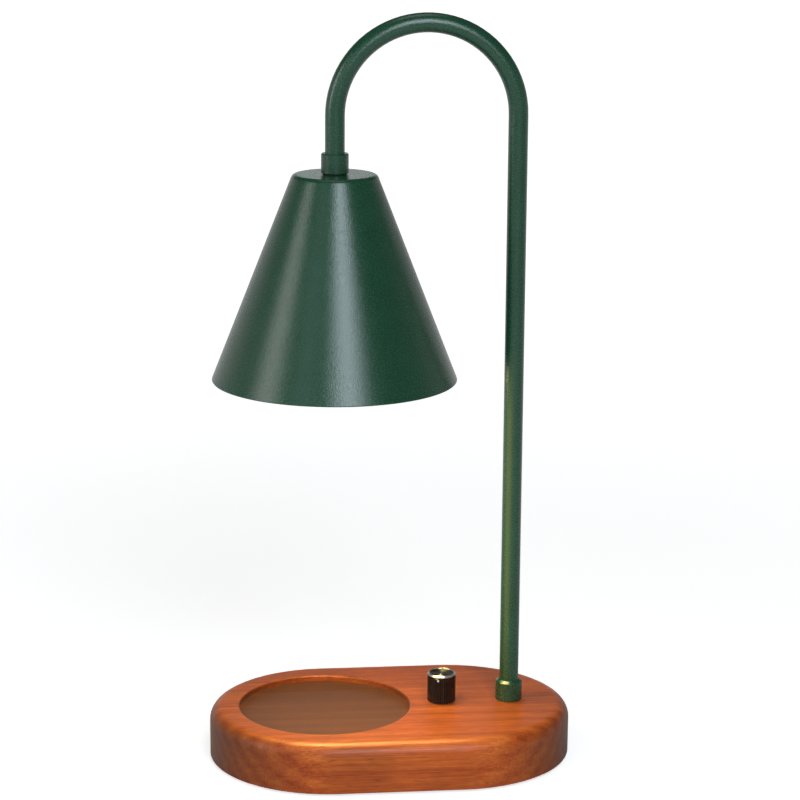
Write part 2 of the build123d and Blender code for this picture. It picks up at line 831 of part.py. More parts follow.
def make_holder_body():
    """Ceramic half with the two keyhole slots of the twist lock."""
    body = disc(holder_diameter / 2, holder_bottom, holder_split)
    body = fillet(body.edges().group_by(Axis.Z)[0], holder_edge_round)
    chamber = disc(holder_chamber_outer, chamber_floor, holder_split)
    body -= chamber - disc(holder_chamber_inner, chamber_floor, holder_split)
    neck = lamp_pin_neck / 2 + body_gap
    head = lamp_pin_head / 2 + body_gap
    steps = 7
    for side in (0, 180):
        for index in range(steps + 1):
            turn = side + 90 - lamp_twist * index / steps
            radius = head if index == steps else neck
            body -= Rot(0, 0, turn) * disc(radius, holder_bottom, chamber_floor, pin_radius)
    for side in (-1, 1):
        x = side * strap_hole_x
        head_top = holder_bottom + m3_head_sink + m3_head_height
        body -= disc(m3_head / 2 + hole_clearance, holder_bottom, head_top, x)
    body -= screw_column(m3_diameter / 2 + hole_clearance)
    return Pos(shade_x, 0, 0) * body


def make_holder_cap():
    """Ceramic half that closes the chamber, with two wire holes."""
    cap = disc(holder_diameter / 2, holder_split, holder_top)
    cap = fillet(cap.edges().group_by(Axis.Z)[-1], holder_edge_round)
    cap -= screw_column(m3_diameter / 2 + hole_clearance)
    for y in (-wire_y, wire_y):
        hole = wire_diameter / 2 + wire_clearance
        cap -= disc(hole, holder_top - wire_grip - 1, holder_top, 0, y)
    return Pos(shade_x, 0, 0) * cap


def make_holder_contacts():
    """Two brass plates above the lamp's pins."""
    half = contact_size / 2
    plates = []
    for side in (-1, 1):
        y = side * pin_radius
        tall = (holder_split - contact_thickness, holder_split)
        plate = block((-half, half), (y - half, y + half), tall)
        plates.append(Pos(shade_x, 0, 0) * fillet(plate.edges().filter_by(Axis.Z), contact_corner))
    return plates


def make_bracket_screws():
    """Two M3 screws up through the holder and the strap's flanges."""
    head_bottom = holder_bottom + m3_head_sink
    head_top = head_bottom + m3_head_height
    tip = holder_top + strap_sheet + m3_nut_thickness + m3_reach
    screws = []
    for side in (-1, 1):
        x = side * strap_hole_x
        head = disc(m3_head / 2, head_bottom, head_top, x)
        head = fillet(head.edges().group_by(Axis.Z)[0], m3_head_round)
        screw = head + disc(m3_diameter / 2, head_top, tip, x)
        screw -= Pos(x, 0, head_bottom) * cross_recess(m3_head * cross_share, cross_depth)
        screws.append(Pos(shade_x, 0, 0) * screw)
    return screws


def make_bracket_nuts():
    """Nuts on the flanges."""
    bottom = holder_top + strap_sheet
    top = bottom + m3_nut_thickness
    nuts = []
    for side in (-1, 1):
        nut = hexagon(m3_nut_flats, bottom, top, shade_x + side * strap_hole_x)
        hole = m3_diameter / 2 + thread_clearance
        nuts.append(nut - disc(hole, bottom, top, shade_x + side * strap_hole_x))
    return nuts


# ---- reflector lamp ---------------------------------------------------------------------------------

def make_lamp_base():
    """Ceramic base of the lamp, with holes for the pins and the capsule's seat."""
    top = lamp_base_diameter / 2
    neck = lamp_neck_diameter / 2
    shoulder = lamp_top - lamp_base_bevel
    body = spun((0, lamp_neck_z), (neck, lamp_neck_z), (top, shoulder - lamp_base_band), (top, shoulder),
                (top - lamp_base_bevel, lamp_top), (0, lamp_top))
    body -= disc(capsule_diameter / 2 + hole_clearance, lamp_neck_z, lamp_neck_z + capsule_seat)
    for y in (-pin_radius, pin_radius):
        body -= disc(lamp_pin_neck / 2 + thread_clearance, lamp_top - lamp_pin_root, lamp_top, 0, y)
    return Pos(shade_x, 0, 0) * body


def make_lamp_pins():
    """Two headed pins that turn under the holder's slots."""
    head_low = chamber_floor + body_gap
    head_high = head_low + lamp_pin_head_height
    pins = []
    for y in (-pin_radius, pin_radius):
        neck = disc(lamp_pin_neck / 2, lamp_top - lamp_pin_root, head_low, 0, y)
        head = disc(lamp_pin_head / 2, head_low, head_high, 0, y)
        head = fillet(head.edges().group_by(Axis.Z)[-1], lamp_pin_round)
        pins.append(Pos(shade_x, 0, 0) * (neck + head))
    return pins


def make_lamp_reflector():
    """Curved glass bowl, coated inside, from the neck to the rim."""
    rim = lamp_diameter / 2
    neck = lamp_neck_diameter / 2
    height = lamp_neck_z - lamp_rim_z
    bow = (neck + (rim - neck) * 0.66, 0, lamp_neck_z - height * 0.42)
    inner_bow = (bow[0] - lamp_glass, 0, bow[2] - lamp_glass * 0.4)
    outer = ThreePointArc((neck, 0, lamp_neck_z), bow, (rim, 0, lamp_rim_z))
    front = Line((rim, 0, lamp_rim_z), (rim - lamp_glass, 0, lamp_rim_z))
    floor_z = lamp_neck_z - lamp_glass
    inner_neck = neck - lamp_neck_wall
    inner = ThreePointArc((rim - lamp_glass, 0, lamp_rim_z), inner_bow, (inner_neck, 0, floor_z))
    shelf = Polyline((inner_neck, 0, floor_z), (lamp_neck_bore / 2, 0, floor_z),
                     (lamp_neck_bore / 2, 0, lamp_neck_z), (neck, 0, lamp_neck_z))
    bowl = revolve(make_face(Wire([outer, front, inner] + shelf.edges())), Axis.Z)
    return Pos(shade_x, 0, 0) * bowl


def make_lamp_front_glass():
    """Clear disc bonded to the rim."""
    radius = lamp_diameter / 2 - lamp_front_margin
    plate = disc(radius, lamp_bottom, lamp_rim_z, shade_x)
    return fillet(plate.edges().group_by(Axis.Z)[0], lamp_front_round)


def make_lamp_capsule():
    """Quartz tube, closed at its round tip, seated in the base."""
    radius = capsule_diameter / 2
    open_end = lamp_neck_z + capsule_seat
    tip = open_end - capsule_length
    shell = disc(radius, tip, open_end)
    shell = fillet(shell.edges().group_by(Axis.Z)[0], radius * 0.9)
    bore = disc(radius - capsule_glass, tip + capsule_glass, open_end)
    bore = fillet(bore.edges().group_by(Axis.Z)[0], (radius - capsule_glass) * 0.9)
    return Pos(shade_x, 0, 0) * (shell - bore)


def make_lamp_filament():
    """Coil across the capsule, on two posts from its seat."""
    top = lamp_neck_z + capsule_seat
    coil_z = top - capsule_length + filament_height
    coil = rod_x(filament_diameter / 2, -filament_length / 2, filament_length / 2, 0, coil_z)
    reach = filament_length / 2 - filament_post / 2
    left = disc(filament_post / 2, coil_z, top, -reach)
    right = disc(filament_post / 2, coil_z, top, reach)
    return Pos(shade_x, 0, 0) * (coil + left + right)


# ---- one STEP file for each node --------------------------------------------------------------------

NODES = {
    "base_block": make_base_block,
    "bottom_cover": make_bottom_cover,
    "cover_screws": make_cover_screws,
    "feet": make_feet,
    "cord_grommet": make_cord_grommet,
    "control_bush": make_control_bush,
    "control_can": make_control_can,
    "control_pins": make_control_pins,
    "control_washer": make_control_washer,
    "control_nut": make_control_nut,
    "control_shaft": make_control_shaft,
    "knob_body": make_knob_body,
    "knob_ring": make_knob_ring,
    "knob_disc": make_knob_disc,
    "knob_marks": make_knob_marks,
    "dimmer_board": make_dimmer_board,
    "terminal_block": make_terminal_block,
    "terminal_screws": make_terminal_screws,
    "filter_capacitor": make_filter_capacitor,
    "dimmer_triac": make_dimmer_triac,
    "choke_core": make_choke_core,
    "choke_winding": make_choke_winding,
    "board_resistors": make_board_resistors,
    "arm_tube": make_arm_tube,
    "lamp_wires": make_lamp_wires,
    "base_collar": make_base_collar,
    "base_washer": make_base_washer,
    "base_nut": make_base_nut,
    "shade_collar": make_shade_collar,
    "shade_gasket": make_shade_gasket,
    "lamp_shade": make_lamp_shade,
    "shade_washer": make_shade_washer,
    "shade_nut": make_shade_nut,
    "holder_bracket": make_holder_bracket,
    "holder_body": make_holder_body,
    "holder_cap": make_holder_cap,
    "holder_contacts": make_holder_contacts,
    "bracket_screws": make_bracket_screws,
    "bracket_nuts": make_bracket_nuts,
    "lamp_base": make_lamp_base,
    "lamp_pins": make_lamp_pins,
    "lamp_reflector": make_lamp_reflector,
    "lamp_front_glass": make_lamp_front_glass,
    "lamp_capsule": make_lamp_capsule,
    "lamp_filament": make_lamp_filament,
}

os.makedirs("parts", exist_ok=True)
for node, make in NODES.items():
    shape = make()
    if isinstance(shape, list):
        shape = Compound(children=shape)
    export_step(shape, f"parts/{node}.step")
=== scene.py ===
import math

import bpy
from mathutils import Matrix, Vector


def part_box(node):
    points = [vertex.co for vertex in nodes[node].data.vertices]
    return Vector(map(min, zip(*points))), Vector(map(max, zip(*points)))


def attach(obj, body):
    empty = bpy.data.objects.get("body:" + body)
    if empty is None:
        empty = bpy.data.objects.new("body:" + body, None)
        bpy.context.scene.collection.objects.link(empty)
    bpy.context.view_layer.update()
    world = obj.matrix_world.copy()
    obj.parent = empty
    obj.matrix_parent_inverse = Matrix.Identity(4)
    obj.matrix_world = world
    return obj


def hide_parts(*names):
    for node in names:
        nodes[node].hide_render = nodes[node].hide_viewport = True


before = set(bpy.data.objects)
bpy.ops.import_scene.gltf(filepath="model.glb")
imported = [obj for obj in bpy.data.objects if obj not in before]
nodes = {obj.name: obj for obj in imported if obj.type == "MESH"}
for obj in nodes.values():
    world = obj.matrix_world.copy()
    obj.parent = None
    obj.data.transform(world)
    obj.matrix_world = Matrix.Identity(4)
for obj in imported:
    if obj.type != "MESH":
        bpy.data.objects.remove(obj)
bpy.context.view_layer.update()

# Candle warmer lamp, put together from the base up. The mesh is in metres; a name that ends in
# _mm is in millimetres. The origin is under the middle of the base, and the front faces -Y.


# ---- wooden base ---------------------------------------------------------------------------
# One slab of rubberwood with its grain along the lamp, routed, sanded, stained red-brown and
# sprayed with a satin lacquer. The stain gathers in the open pores, which show as short dark
# dashes, and soaks deeper into the end grain. The routed floor of the candle recess is painted
# darker, as painted shade from a candle jar standing there.

def srgb(code):
    """The linear colour of an sRGB hex value."""
    channels = [int(code[i:i + 2], 16) / 255 for i in (1, 3, 5)]
    return [c / 12.92 if c < 0.04045 else ((c + 0.055) / 1.055) ** 2.4 for c in channels] + [1]


def add(owner, kind, inputs=None, stops=None, **settings):
    """Adds a node with its settings. An input takes a value, a socket or a node's first output."""
    node = owner.node_tree.nodes.new("ShaderNode" + kind)
    for name, value in settings.items():
        setattr(node, name, value)
    for socket, value in (inputs or {}).items():
        if isinstance(value, bpy.types.Node):
            value = value.outputs[0]
        if isinstance(value, bpy.types.NodeSocket):
            owner.node_tree.links.new(value, node.inputs[socket])
        else:
            node.inputs[socket].default_value = value
    if stops:
        ramp = node.color_ramp.elements
        for position, _ in stops[1:-1]:
            ramp.new(position)
        for element, (position, colour) in zip(ramp, stops):
            element.position = position
            element.color = srgb(colour)
    return node


def new_material(name):
    """A material with no surface yet, and the socket that gives each point's place, in metres."""
    material = bpy.data.materials.new(name)
    material.use_nodes = True
    material.node_tree.nodes.clear()
    return material, add(material, "TexCoord").outputs["Object"]


def dress(material, surface, *names):
    """Ends a material with its surface, and puts it on the named solids of the frame."""
    add(material, "OutputMaterial", {"Surface": surface})
    for name in names:
        for slot in nodes[name].material_slots:
            slot.material = material


wood, place = new_material("stained_rubberwood_satin_lacquer")
in_mm = add(wood, "VectorMath", {0: place, 1: (1000, 1000, 1000)}, operation="MULTIPLY")

# Growth layers lie about 7 mm apart, round a pith that was behind and below the slab. They are
# faint in rubberwood, and broad lighter and darker streaks run over them. A wave texture repeats
# once in each unit of length at a scale of 2 pi / 20.
wave_scale = 2 * math.pi / 20
layer_mm, layer_stretch = 7.0, 50
pith_behind_mm, pith_below_mm = 46, 64
streak_mm, streak_stretch = 3.33, 30
from_pith = add(wood, "Mapping", {
    "Vector": in_mm, "Location": (0, -pith_behind_mm, pith_below_mm),
    "Scale": (1 / layer_stretch, 1, 1)})
rings = add(wood, "TexWave", {
    "Vector": from_pith, "Scale": wave_scale / layer_mm, "Distortion": 9, "Detail": 3,
    "Detail Scale": 0.25, "Detail Roughness": 0.6}, wave_type="RINGS", rings_direction="X")
along_streak = add(wood, "Mapping", {"Vector": in_mm, "Scale": (1 / streak_stretch, 1, 1)})
streaks = add(wood, "TexNoise", {
    "Vector": along_streak, "Scale": 1 / streak_mm, "Detail": 3, "Roughness": 0.6})

# Fibres run along the slab, 60 times as long as they are thick. They are drawn 0.6 mm thick.
fibre_mm, fibre_stretch = 0.588, 60
along_fibre = add(wood, "Mapping", {"Vector": in_mm, "Scale": (1 / fibre_stretch, 1, 1)})
fibres = add(wood, "TexNoise", {
    "Vector": along_fibre, "Scale": 1 / fibre_mm, "Detail": 4, "Roughness": 0.75})

# Pores are 0.2 mm wide and 2 to 5 mm long, about 1 mm apart. They are drawn 0.4 mm wide, and
# only some are open.
pore_pitch_mm, pore_stretch = 1.053, 11
along_pore = add(wood, "Mapping", {"Vector": in_mm, "Scale": (1 / pore_stretch, 1, 1)})
pore_cells = add(wood, "TexVoronoi", {
    "Vector": along_pore, "Scale": 1 / pore_pitch_mm, "Randomness": 1})
pore_holes = add(wood, "MapRange", {
    "Value": pore_cells.outputs["Distance"],
    "From Min": 0.24, "From Max": 0.08, "To Min": 0, "To Max": 0.8})
pore_open = add(wood, "SeparateColor", {"Color": pore_cells.outputs["Color"]})
pores = add(wood, "Math", {0: pore_holes, 1: pore_open.outputs["Red"]}, operation="MULTIPLY")

# The stain takes unevenly over patches a few centimetres across, and over flecks 2 mm by 8 mm.
patch_mm = 38
fleck_mm, fleck_stretch = 2, 4
patches = add(wood, "TexNoise", {
    "Vector": in_mm, "Scale": 1 / patch_mm, "Detail": 2, "Roughness": 0.5})
along_fleck = add(wood, "Mapping", {"Vector": in_mm, "Scale": (1 / fleck_stretch, 1, 1)})
flecks = add(wood, "TexNoise", {
    "Vector": along_fleck, "Scale": 1 / fleck_mm, "Detail": 3, "Roughness": 0.65})

layers = add(wood, "MixRGB", {"Fac": 0.4, "Color1": fibres, "Color2": streaks})
layers = add(wood, "MixRGB", {"Fac": 0.1, "Color1": layers, "Color2": rings})
toned = add(wood, "ValToRGB", {"Fac": layers}, stops=[
    (0.35, "#983a11"), (0.46, "#ba521c"), (0.55, "#c86025"), (0.67, "#d87733")])
for unevenness, darkest, lightest in ((patches, 0.86, 1.08), (flecks, 0.85, 1.12)):
    tone = add(wood, "MapRange", {
        "Value": unevenness, "From Min": 0.3, "From Max": 0.7,
        "To Min": darkest, "To Max": lightest})
    toned = add(wood, "MixRGB", {"Fac": 1, "Color1": toned, "Color2": tone}, blend_type="MULTIPLY")
pored = add(wood, "MixRGB", {"Fac": pores, "Color1": toned, "Color2": srgb("#4a1b0b")})

# End grain faces along the slab. The recess floor faces up, and lies 3 mm below the top.
recess_depth_mm = 3.0
floor_limit_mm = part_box("base_block")[1].z * 1000 - recess_depth_mm / 2
level_facing = 0.98
facing = add(wood, "SeparateXYZ", {"Vector": add(wood, "TexCoord").outputs["Normal"]})
height = add(wood, "SeparateXYZ", {"Vector": in_mm})
end_on = add(wood, "Math", {0: facing.outputs["X"]}, operation="ABSOLUTE")
end_grain = add(wood, "MapRange", {
    "Value": end_on, "From Min": 0.25, "From Max": 0.95, "To Min": 0, "To Max": 0.8})
below_top = add(wood, "Math", {0: height.outputs["Z"], 1: floor_limit_mm}, operation="LESS_THAN")
face_up = add(wood, "Math", {0: facing.outputs["Z"], 1: level_facing}, operation="GREATER_THAN")
recess = add(wood, "Math", {0: below_top, 1: face_up}, operation="MULTIPLY")
# The recess floor is darkened towards #3a2c20: painted shade, as a candle jar standing there would
# cast.
recess_painted_shade = add(wood, "Math", {0: recess, 1: 0.8}, operation="MULTIPLY")
soaked_and_shaded = add(wood, "MixRGB", {"Fac": end_grain, "Color1": pored, "Color2": srgb("#4f2a10")})
soaked_and_shaded = add(wood, "MixRGB", {"Fac": recess_painted_shade, "Color1": soaked_and_shaded, "Color2": srgb("#3a2c20")})

wood_relief = add(wood, "Math", {0: pores, 1: -1.0}, operation="MULTIPLY")
wood_relief = add(wood, "Math", {0: fibres, 1: 0.25, 2: wood_relief}, operation="MULTIPLY_ADD")
wood_bump = add(wood, "Bump", {"Height": wood_relief, "Strength": 0.5, "Distance": 0.00006})
wood_sheen = add(wood, "MapRange", {
    "Value": fibres, "From Min": 0.3, "From Max": 0.7, "To Min": 0.4, "To Max": 0.52})
lacquered = add(wood, "BsdfPrincipled", {
    "Base Color": soaked_and_shaded, "Roughness": wood_sheen, "IOR": 1.5, "Specular IOR Level": 0.25,
    "Normal": wood_bump, "Coat Weight": 0.2, "Coat Roughness": 0.3, "Coat IOR": 1.5})
dress(wood, lacquered, "base_block")


# ---- rubber feet and cord grommet ----------------------------------------------------------
# Four feet are glued under the slab, and a grommet is pushed into the cord hole at the back. They
# are moulded black rubber: matt, slightly uneven, and a little greyer where mould talc has stayed.

def scale_of(size_mm):
    """The scale of a texture, on a solid in metres, whose parts are that many millimetres."""
    return 1000 / size_mm


talc_mm = 3.33
skin_mm = 0.4
rubber, place = new_material("moulded_black_rubber")
talc = add(rubber, "TexNoise", {"Vector": place, "Scale": scale_of(talc_mm), "Detail": 4})
talc_tone = add(rubber, "ValToRGB", {"Fac": talc}, stops=[(0.35, "#121212"), (0.7, "#262524")])
skin = add(rubber, "TexNoise", {"Vector": place, "Scale": scale_of(skin_mm), "Detail": 2})
skin_bump = add(rubber, "Bump", {"Height": skin, "Strength": 0.5, "Distance": 0.00003})
moulded_rubber = add(rubber, "BsdfPrincipled", {
    "Base Color": talc_tone, "Roughness": 0.75, "IOR": 1.52, "Normal": skin_bump})
dress(rubber, moulded_rubber, "feet", "cord_grommet")


# ---- bottom cover --------------------------------------------------------------------------
# A flat ABS plate let into the underside, moulded in a spark-eroded tool, so it has an even
# matt grain. Grain of that kind is 0.1 mm; it is drawn at 0.4 mm.

spark_mm = 0.4
flow_mm = 33.3
abs_black, place = new_material("black_abs_spark_grain")
spark_grain = add(abs_black, "TexVoronoi", {"Vector": place, "Scale": scale_of(spark_mm)})
flow = add(abs_black, "TexNoise", {"Vector": place, "Scale": scale_of(flow_mm), "Detail": 2})
flow_tone = add(abs_black, "ValToRGB", {"Fac": flow}, stops=[(0.3, "#181818"), (0.7, "#202021")])
spark_bump = add(abs_black, "Bump", {"Height": spark_grain, "Strength": 0.4, "Distance": 0.00004})
moulded_abs = add(abs_black, "BsdfPrincipled", {
    "Base Color": flow_tone, "Roughness": 0.58, "IOR": 1.54, "Normal": spark_bump})
dress(abs_black, moulded_abs, "bottom_cover")


# ---- arm, collars and shade ----------------------------------------------------------------
# Bent steel tube, two threaded collars and a spun steel cone, all sprayed in one batch with
# dark green polyester powder and baked. The cured film is satin, with a fine sandy relief that
# glints in the highlights. The relief is about 0.3 mm; it is drawn at 0.7 mm.

grit_mm = 0.7
film_mm = 12
powder, place = new_material("green_polyester_powder_coat")
grit = add(powder, "TexNoise", {
    "Vector": place, "Scale": scale_of(grit_mm), "Detail": 2, "Roughness": 0.6})
film = add(powder, "TexNoise", {"Vector": place, "Scale": scale_of(film_mm), "Detail": 3})
film_tone = add(powder, "ValToRGB", {"Fac": film}, stops=[(0.3, "#18452e"), (0.7, "#1c4a33")])
grit_tone = add(powder, "MapRange", {
    "Value": grit, "From Min": 0.3, "From Max": 0.7, "To Min": 0.94, "To Max": 1.06})
green = add(powder, "MixRGB", {
    "Fac": 1, "Color1": film_tone, "Color2": grit_tone}, blend_type="MULTIPLY")
grit_sheen = add(powder, "MapRange", {
    "Value": grit, "From Min": 0.35, "From Max": 0.65, "To Min": 0.22, "To Max": 0.3})
grit_bump = add(powder, "Bump", {"Height": grit, "Strength": 1.0, "Distance": 0.0001})
baked = add(powder, "BsdfPrincipled", {
    "Base Color": green, "Roughness": grit_sheen, "IOR": 1.55, "Normal": grit_bump})
dress(powder, baked, "arm_tube", "base_collar", "shade_collar", "lamp_shade")


# ---- gasket under the upper collar ---------------------------------------------------------
# A ring punched from black vulcanised fibre keeps the collar from scraping the painted shade.
# Pressed paper fibres give it a dull, slightly felted face.

felt_mm = 0.6
fibre, place = new_material("black_vulcanised_fibre")
felt = add(fibre, "TexNoise", {"Vector": place, "Scale": scale_of(felt_mm), "Detail": 5})
felt_tone = add(fibre, "ValToRGB", {"Fac": felt}, stops=[(0.3, "#0d0f0e"), (0.7, "#1c1f1d")])
felt_bump = add(fibre, "Bump", {"Height": felt, "Strength": 0.6, "Distance": 0.00004})
pressed = add(fibre, "BsdfPrincipled", {
    "Base Color": felt_tone, "Roughness": 0.85, "IOR": 1.5, "Normal": felt_bump})
dress(fibre, pressed, "shade_gasket")


# ---- fasteners, strap and other plated steel -----------------------------------------------
# Nuts, washers, screws, the lamp holder's strap, the dimmer's bush, can, pins and nut, and the
# lamp's pins: steel, turned, stamped or bent, with a bright zinc plating. Zinc dulls to a cool
# grey in soft patches and keeps the fine lines of rolling and turning.

line_mm, line_stretch = 2.5, 9
bloom_mm = 4
zinc, place = new_material("bright_zinc_plated_steel")
rolling = add(zinc, "Mapping", {"Vector": place, "Scale": (1, line_stretch, line_stretch)})
rolled = add(zinc, "TexNoise", {"Vector": rolling, "Scale": scale_of(line_mm), "Detail": 4})
bloom = add(zinc, "TexNoise", {"Vector": place, "Scale": scale_of(bloom_mm), "Detail": 3})
zinc_tone = add(zinc, "ValToRGB", {"Fac": bloom}, stops=[(0.3, "#aeb1b2"), (0.7, "#d3d5d4")])
zinc_sheen = add(zinc, "MapRange", {
    "Value": bloom, "From Min": 0.3, "From Max": 0.7, "To Min": 0.4, "To Max": 0.24})
zinc_bump = add(zinc, "Bump", {"Height": rolled, "Strength": 0.3, "Distance": 0.00001})
plated = add(zinc, "BsdfPrincipled", {
    "Base Color": zinc_tone, "Metallic": 1, "Roughness": zinc_sheen, "Normal": zinc_bump})
dress(zinc, plated, "base_washer", "base_nut", "shade_washer", "shade_nut", "holder_bracket",
      "bracket_screws", "bracket_nuts", "cover_screws", "control_bush", "control_can",
      "control_pins", "control_washer", "control_nut", "terminal_screws", "lamp_pins")


# ---- knob ----------------------------------------------------------------------------------
# The body is moulded in glossy black phenolic with fine flutes. Its ring and its sunk disc are
# aluminium cut with a diamond tool, which leaves close concentric lines: bright on the ring,
# dyed black on the disc. The pointer groove and the dot on the side hold white enamel.

handling_mm = 2
phenolic, place = new_material("gloss_black_phenolic")
handling = add(phenolic, "TexNoise", {
    "Vector": place, "Scale": scale_of(handling_mm), "Detail": 4})
phenolic_tone = add(phenolic, "ValToRGB", {"Fac": handling}, stops=[
    (0.3, "#0a0a0b"), (0.7, "#131213")])
phenolic_sheen = add(phenolic, "MapRange", {
    "Value": handling, "From Min": 0.35, "From Max": 0.7, "To Min": 0.08, "To Max": 0.16})
glossy = add(phenolic, "BsdfPrincipled", {
    "Base Color": phenolic_tone, "Roughness": phenolic_sheen, "IOR": 1.5})
dress(phenolic, glossy, "knob_body")

# Tool lines are 0.05 mm apart; they are drawn 0.25 mm apart. They run round the knob's axis and
# stretch its highlights across them. The shaft is turned bright, like the ring.
tool_line_mm = 0.25
ring_low, ring_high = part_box("knob_ring")
knob_axis = (ring_low + ring_high) / 2
for finish, groove, land, turned_pieces in (
        ("diamond_cut_aluminium", "#cfd0d0", "#e4e4e3", ("knob_ring", "control_shaft")),
        ("black_anodised_aluminium", "#3b3734", "#4f4a46", ("knob_disc",))):
    aluminium, place = new_material(finish)
    from_axis = add(aluminium, "Mapping", {
        "Vector": place, "Location": (-knob_axis.x, -knob_axis.y, 0)})
    tool_lines = add(aluminium, "TexWave", {
        "Vector": from_axis, "Scale": wave_scale * scale_of(tool_line_mm), "Distortion": 0.4},
        wave_type="RINGS", rings_direction="Z")
    lines_bump = add(aluminium, "Bump", {
        "Height": tool_lines, "Strength": 0.35, "Distance": 0.00001})
    # The grooves are coloured darker than the lands between them: painted shade in the grooves.
    groove_shaded_tone = add(aluminium, "ValToRGB", {"Fac": tool_lines}, stops=[(0, groove), (1, land)])
    turned = add(aluminium, "BsdfPrincipled", {
        "Base Color": groove_shaded_tone, "Metallic": 1, "Roughness": 0.4, "Anisotropic": 0.95,
        "Anisotropic Rotation": 0.25, "Normal": lines_bump})
    dress(aluminium, turned, *turned_pieces)

brush_mm = 0.667
enamel, place = new_material("white_filling_enamel")
brush = add(enamel, "TexNoise", {"Vector": place, "Scale": scale_of(brush_mm), "Detail": 3})
enamel_tone = add(enamel, "ValToRGB", {"Fac": brush}, stops=[(0.3, "#dcdad2"), (0.7, "#efeee8")])
enamel_bump = add(enamel, "Bump", {"Height": brush, "Strength": 0.3, "Distance": 0.00002})
filled = add(enamel, "BsdfPrincipled", {
    "Base Color": enamel_tone, "Roughness": 0.35, "IOR": 1.5, "Normal": enamel_bump})
dress(enamel, filled, "knob_marks")


# ---- dimmer board --------------------------------------------------------------------------
# Glass-fibre laminate under green solder resist. Copper tracks 1 mm wide lie under the resist
# and show as lighter, slightly raised runs round fields of 7.5 mm by 4.2 mm.

track = 0.001
field_length, field_width = 0.0075, 0.0042
weave_mm = 0.8
laminate, place = new_material("green_solder_resist_on_laminate")
track_plan = add(laminate, "TexBrick", {
    "Vector": place, "Color1": srgb("#0f4a2a"), "Color2": srgb("#0d4427"),
    "Mortar": srgb("#1f7a45"), "Scale": 1, "Mortar Size": track / 2, "Mortar Smooth": 0.2,
    "Brick Width": field_length, "Row Height": field_width})
weave = add(laminate, "TexNoise", {"Vector": place, "Scale": scale_of(weave_mm), "Detail": 2})
track_bump = add(laminate, "Bump", {
    "Height": track_plan.outputs["Fac"], "Strength": 0.6, "Distance": 0.00004})
weave_bump = add(laminate, "Bump", {
    "Height": weave, "Normal": track_bump, "Strength": 0.2, "Distance": 0.00003})
resist = add(laminate, "BsdfPrincipled", {
    "Base Color": track_plan, "Roughness": 0.32, "IOR": 1.55, "Normal": weave_bump})
dress(laminate, resist, "dimmer_board")


# ---- terminal block ------------------------------------------------------------------------
# Green polyamide, moulded. The glass filling leaves pale flecks and a slightly rough, satin
# skin.

glass_mm = 0.5
polyamide, place = new_material("green_filled_polyamide")
glass = add(polyamide, "TexNoise", {"Vector": place, "Scale": scale_of(glass_mm), "Detail": 4})
polyamide_tone = add(polyamide, "ValToRGB", {"Fac": glass}, stops=[
    (0.35, "#1c7a3c"), (0.75, "#2f9150")])
glass_bump = add(polyamide, "Bump", {"Height": glass, "Strength": 0.4, "Distance": 0.00003})
moulded_polyamide = add(polyamide, "BsdfPrincipled", {
    "Base Color": polyamide_tone, "Roughness": 0.48, "IOR": 1.53, "Normal": glass_bump})
dress(polyamide, moulded_polyamide, "terminal_block")


# ---- filter capacitor ----------------------------------------------------------------------
# A film capacitor in a yellow polyester box, filled with resin. The box is smooth, with faint
# flow marks.

flow_mark_mm = 4.55
polyester, place = new_material("yellow_polyester_box")
flow_marks = add(polyester, "TexNoise", {
    "Vector": place, "Scale": scale_of(flow_mark_mm), "Detail": 3, "Distortion": 1.5})
box_tone = add(polyester, "ValToRGB", {"Fac": flow_marks}, stops=[
    (0.3, "#d9a514"), (0.7, "#e8bb2f")])
flow_bump = add(polyester, "Bump", {"Height": flow_marks, "Strength": 0.2, "Distance": 0.00005})
moulded_box = add(polyester, "BsdfPrincipled", {
    "Base Color": box_tone, "Roughness": 0.36, "IOR": 1.55, "Normal": flow_bump})
dress(polyester, moulded_box, "filter_capacitor")


# ---- power device --------------------------------------------------------------------------
# Black epoxy moulded round a chip, on a tinned copper tab. The epoxy is matt; the tab beyond
# it, towards the front edge of the board, is bright rolled metal.

epoxy_grain_mm = 0.4
tab_length, tab_thickness, tab_margin = 0.006, 0.0014, 0.0001
device_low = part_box("dimmer_triac")[0]
device, place = new_material("black_epoxy_on_tinned_tab")
where = add(device, "SeparateXYZ", {"Vector": place})
beyond = add(device, "Math", {
    0: where.outputs["Y"], 1: device_low.y + tab_length - tab_margin}, operation="LESS_THAN")
under = add(device, "Math", {
    0: where.outputs["Z"], 1: device_low.z + tab_thickness}, operation="LESS_THAN")
on_tab = add(device, "Math", {0: beyond, 1: under}, operation="MULTIPLY")
epoxy_grain = add(device, "TexNoise", {
    "Vector": place, "Scale": scale_of(epoxy_grain_mm), "Detail": 3})
epoxy_tone = add(device, "ValToRGB", {"Fac": epoxy_grain}, stops=[
    (0.3, "#141414"), (0.7, "#232323")])
device_tone = add(device, "MixRGB", {
    "Fac": on_tab, "Color1": epoxy_tone, "Color2": srgb("#cfcdc8")})
device_sheen = add(device, "MapRange", {"Value": on_tab, "To Min": 0.62, "To Max": 0.26})
epoxy_bump = add(device, "Bump", {"Height": epoxy_grain, "Strength": 0.3, "Distance": 0.00003})
cased = add(device, "BsdfPrincipled", {
    "Base Color": device_tone, "Metallic": on_tab, "Roughness": device_sheen,
    "Normal": epoxy_bump})
dress(device, cased, "dimmer_triac")


# ---- choke ---------------------------------------------------------------------------------
# A sintered ferrite bobbin wound with enamelled copper wire. The bobbin is dark and granular.
# The wire is 0.6 mm thick, and each layer shows its turns as round ribs.

